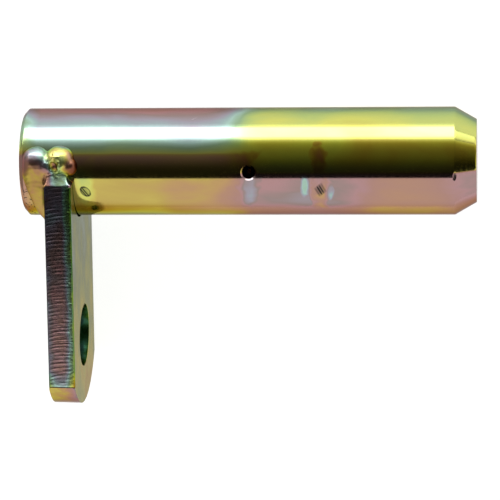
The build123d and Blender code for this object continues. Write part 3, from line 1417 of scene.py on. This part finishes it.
    def root_out(self, run: Workpiece) -> None:
        """Cut away what would lie deep inside the pin, but for the fused root."""
        length = 30 * MM
        ends = (-length, 0, 0), (length, 0, 0)
        run.cut(bar("core_cutter", self.radius - self.root, *ends, self.core_sides))

    def build(self) -> bpy.types.Object:
        """Make the weld and return its object."""
        run = self.sweep("weld_run", self.strand_x, self.strand_radius, self.strand_low_angle)
        self.narrow(run)
        stop = self.sweep("weld_stop", self.lump_x, self.lump_radius, self.lump_low_angle)
        neck = self.collar()
        drops = []
        for name, place, radius in (
            ("weld_lip", self.lip, self.lip_radius),
            ("weld_bridge", self.bridge, self.bridge_radius),
        ):
            drop(radius, place)
            drops.append(Workpiece(name))
        run.join(*(part.body for part in (stop, neck, *drops)))
        self.flow(run)
        self.freeze(run)
        self.root_out(run)
        run.smooth(60)
        self.dress(run)
        return run.body

    def blend(self, place: Vector, value: Callable[[Patch], float], elsewhere: float) -> float:
        """Blend a value of the patches round a point.

        Args:
            place: The point.
            value: Gives a patch's value.
            elsewhere: The value far from every patch.

        Returns:
            The value there.
        """
        mirrored = Vector((place.x, place.y, abs(place.z)))
        far = 0.05
        total, weighed = far, far * elsewhere
        for patch in self.patches:
            share = bell((mirrored - patch.middle).length, 0, patch.reach)
            total += share
            weighed += share * value(patch)
        return weighed / total

    def dress(self, run: Workpiece) -> None:
        """Plate the weld."""
        order, depth = self.elsewhere
        run.note("film", lambda place: self.blend(place, lambda patch: patch.order, order))
        run.note("depth", lambda place: self.blend(place, lambda patch: patch.depth, depth))
        run.paint(WeldFinish("yellow_chromate_on_weld_metal").build())


# ---- The studio -----------------------------------------------------------------------------


@dataclass
class Studio:
    """A white table in a white room, under a curved screen for the bright metal to mirror.

    The screen is a black flag over the table that runs into a softbox behind it. Angles are
    measured from overhead, towards the back.
    """

    rest_z: float
    screen_radius: float = 1.3
    screen_half: float = 3.2
    screen_sides: int = 144
    screen_from: float = -22.0
    screen_to: float = 165.0
    box_edge: float = 59.5
    box_edge_far: float = 74.0
    box_peak: float = 4.4
    # How bright the flag is on the way to the softbox's edge, and the softbox beyond it.
    flag_levels: Profile = (
        (0.0, 0.012), (0.2, 0.014), (0.36, 0.045), (0.57, 0.14), (0.7, 0.21), (0.8, 0.31),
        (0.88, 0.44), (0.94, 0.64), (1.0, 1.0),
    )  # fmt: skip
    box_levels: Profile = (
        (0.0, 0.23), (0.06, 0.7), (0.1, 1.0), (0.26, 1.0), (0.32, 0.42), (0.40, 0.27),
        (0.5, 0.205), (0.66, 0.155), (0.8, 0.13), (1.0, 0.155),
    )  # fmt: skip
    # Where the softbox begins to change beyond the nose and where it is done, and how much of
    # its light is left there.
    far_from: float = 0.5
    far_to: float = 1.7
    far_share: float = 0.3
    card_x: float = -0.7
    card_height: float = 0.1
    card_half: float = 0.5
    card_strength: float = 0.45
    table_x: float = 0.064
    table_half: float = 0.2
    table_tilt: float = 1.9
    table_colour: str = "#B0B0B0"
    # The table's own light, where it only lights the part and where it is seen.
    table_glow: Span = (0.5, 0.85)

    def screen(self) -> Workpiece:
        """Hang the curved screen along the pin."""
        ends = (-self.screen_half, 0, 0), (self.screen_half, 0, 0)
        shell = bar("overhead_screen", self.screen_radius, *ends, self.screen_sides)
        middle = math.radians((self.screen_from + self.screen_to) / 2)
        half = math.radians((self.screen_to - self.screen_from) / 2)
        ahead = Vector((0, math.sin(middle), math.cos(middle)))
        shell.edit()
        for unwanted in (
            lambda at, way: abs(way.x) > 0.9,
            lambda at, way: Vector((0, at.y, at.z)).angle(ahead) > half,
        ):
            shell.pick(Element.FACE, unwanted)
            bpy.ops.mesh.delete(type="FACE")
        shell.leave()
        shell.body.visible_camera = False
        return shell

    def side_card(self) -> Workpiece:
        """Stand a grey card beyond the head, which keeps the head's edges from glaring."""
        bpy.ops.mesh.primitive_plane_add(
            size=2 * self.card_half,
            location=(self.card_x, 0, self.card_height),
            rotation=(0, math.radians(90), 0),
        )
        card = Workpiece("head_side_card")
        card.body.visible_camera = False
        return card

    def card_face(self) -> bpy.types.Material:
        """A plain card that only shines."""
        material, add = new_material("grey_card")
        add("OutputMaterial", add("Emission", WHITE, self.card_strength))
        return material

    def screen_cloth(self) -> bpy.types.Material:
        """Black cloth that brightens towards the softbox, then the softbox's own cloth.

        Beyond the nose the softbox starts further back and is dimmer.
        """
        material, add = new_material("flag_and_softbox_cloth")
        x, y, z = add("SeparateXYZ", add("TexCoord").outputs["Object"]).outputs
        angle = add("Math", y, z, operation="ARCTAN2")
        beyond = (x, self.far_from, self.far_to)
        near_edge, far_edge = math.radians(self.box_edge), math.radians(self.box_edge_far)
        edge = add("MapRange", *beyond, near_edge, far_edge)
        dimming = add("MapRange", *beyond, self.box_peak, self.box_peak * self.far_share)
        over_flag = add("MapRange", angle, math.radians(self.screen_from), edge)
        over_box = add("MapRange", angle, edge, math.radians(self.screen_to))
        flag = add("FloatCurve", Value=over_flag, points=self.flag_levels)
        box = add("FloatCurve", Value=over_box, points=self.box_levels)
        lit = add("Math", box, dimming, operation="MULTIPLY")
        in_box = add("Math", angle, edge, operation="GREATER_THAN")
        level = add("Mix", in_box, None, flag, lit, data_type="FLOAT")
        add("OutputMaterial", add("Emission", WHITE, level))
        return material

    def table_top(self) -> bpy.types.Material:
        """White table: reads as plain white where nothing shades it."""
        material, add = new_material("white_table_top")
        ray = add("LightPath").outputs
        direct = add("Math", ray["Is Camera Ray"], ray["Is Glossy Ray"], operation="MAXIMUM")
        seen = add("Math", direct, ray["Is Transmission Ray"], operation="MAXIMUM")
        level = add("MapRange", seen, None, None, *self.table_glow)
        lit = add("BsdfDiffuse", self.table_colour)
        add("OutputMaterial", add("AddShader", lit, add("Emission", WHITE, level)))
        return material

    def build(self) -> None:
        """Set the table, hang the cards and light the room."""
        bpy.ops.mesh.primitive_plane_add(size=2 * self.table_half, location=(self.table_x, 0, 0))
        table = Workpiece("table_top")
        tilt = math.tan(math.radians(self.table_tilt))
        table.sculpt(lambda at, way: Vector((at.x, at.y, self.rest_z + tilt * at.x)))
        screen, card = self.screen(), self.side_card()
        table.paint(self.table_top())
        screen.paint(self.screen_cloth())
        card.paint(self.card_face())
        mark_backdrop(table.body, screen.body, card.body)
        world = bpy.data.worlds.new("white_room")
        bpy.context.scene.world = world
        world.use_nodes = True
        world.node_tree.nodes.clear()
        room = add_node(world.node_tree, "Background", WHITE, 1.0)
        add_node(world.node_tree, "OutputWorld", room)


@dataclass
class ProductCamera:
    """The camera: a long lens, nearly square to the pin, a little above and beyond its nose."""

    azimuth: float = 5.80
    elevation: float = 16.23
    roll: float = -1.60
    distance: float = 1.0546
    aim_offset: Vector = Vector((-1.15 * MM, 2.40 * MM, 0))
    lens: float = 202.2
    sensor_width: float = 36.0
    sight: float = 100.0

    def build(self, centre: Vector) -> None:
        """Put the camera up, aimed near the middle of the part's box."""
        azimuth, elevation = math.radians(self.azimuth), math.radians(self.elevation)
        level = math.cos(elevation)
        back = Vector(
            (math.sin(azimuth) * level, math.sin(elevation), math.cos(azimuth) * level)
        )
        right = Vector((0, 1, 0)).cross(back).normalized()
        up = back.cross(right)
        cos, sin = math.cos(math.radians(self.roll)), math.sin(math.radians(self.roll))
        right, up = right * cos + up * sin, up * cos - right * sin
        bpy.ops.object.camera_add()
        camera = bpy.context.object
        camera.name = "product_camera"
        camera.data.lens = self.lens
        camera.data.sensor_width = self.sensor_width
        camera.data.clip_end = self.sight
        place = centre + self.aim_offset + back * self.distance
        turn = Matrix((right, up, back)).transposed().to_4x4()
        camera.matrix_world = Matrix.Translation(place) @ turn
        bpy.context.scene.camera = camera


# ---- The whole ------------------------------------------------------------------------------


def clear_defaults() -> None:
    """Remove what a new Blender file holds, and leave nothing selected."""
    for name in ("Cube", "Light", "Camera"):
        if name in bpy.data.objects:
            bpy.data.objects.remove(bpy.data.objects[name])
    bpy.ops.object.select_all(action="DESELECT")


def mount(piece: bpy.types.Object, node: str) -> None:
    """Put a finished piece in the place of its CAD node, and report it."""
    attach(piece, BODY)
    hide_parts(node)
    triangles = sum(len(polygon.vertices) - 2 for polygon in piece.data.polygons)
    log.info("%s stands for %s with %d triangles", piece.name, node, triangles)


def main() -> None:
    """Build the studio and the three pieces."""
    logging.basicConfig(level=logging.INFO, format="%(name)s: %(message)s")
    clear_defaults()
    cad_low, cad_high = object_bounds()
    bpy.context.scene.view_settings.view_transform = "Standard"
    ProductCamera().build((cad_low + cad_high) / 2)
    shaft_low, shaft_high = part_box("pin_shaft")
    lug_low, lug_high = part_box("retaining_lug")
    Studio(rest_z=lug_low.z).build()

    shaft = PinShaft(head_x=shaft_low.x, nose_x=shaft_high.x, radius=shaft_high.z)
    mount(shaft.build(), "pin_shaft")
    lug = RetainingLug(half_width=lug_high.z)
    mount(lug.build(), "retaining_lug")
    weld = WeldBead(radius=shaft_high.z, half_width=lug_high.z)
    mount(weld.build(), "weld_bead")


if __name__ == "__main__":
    main()
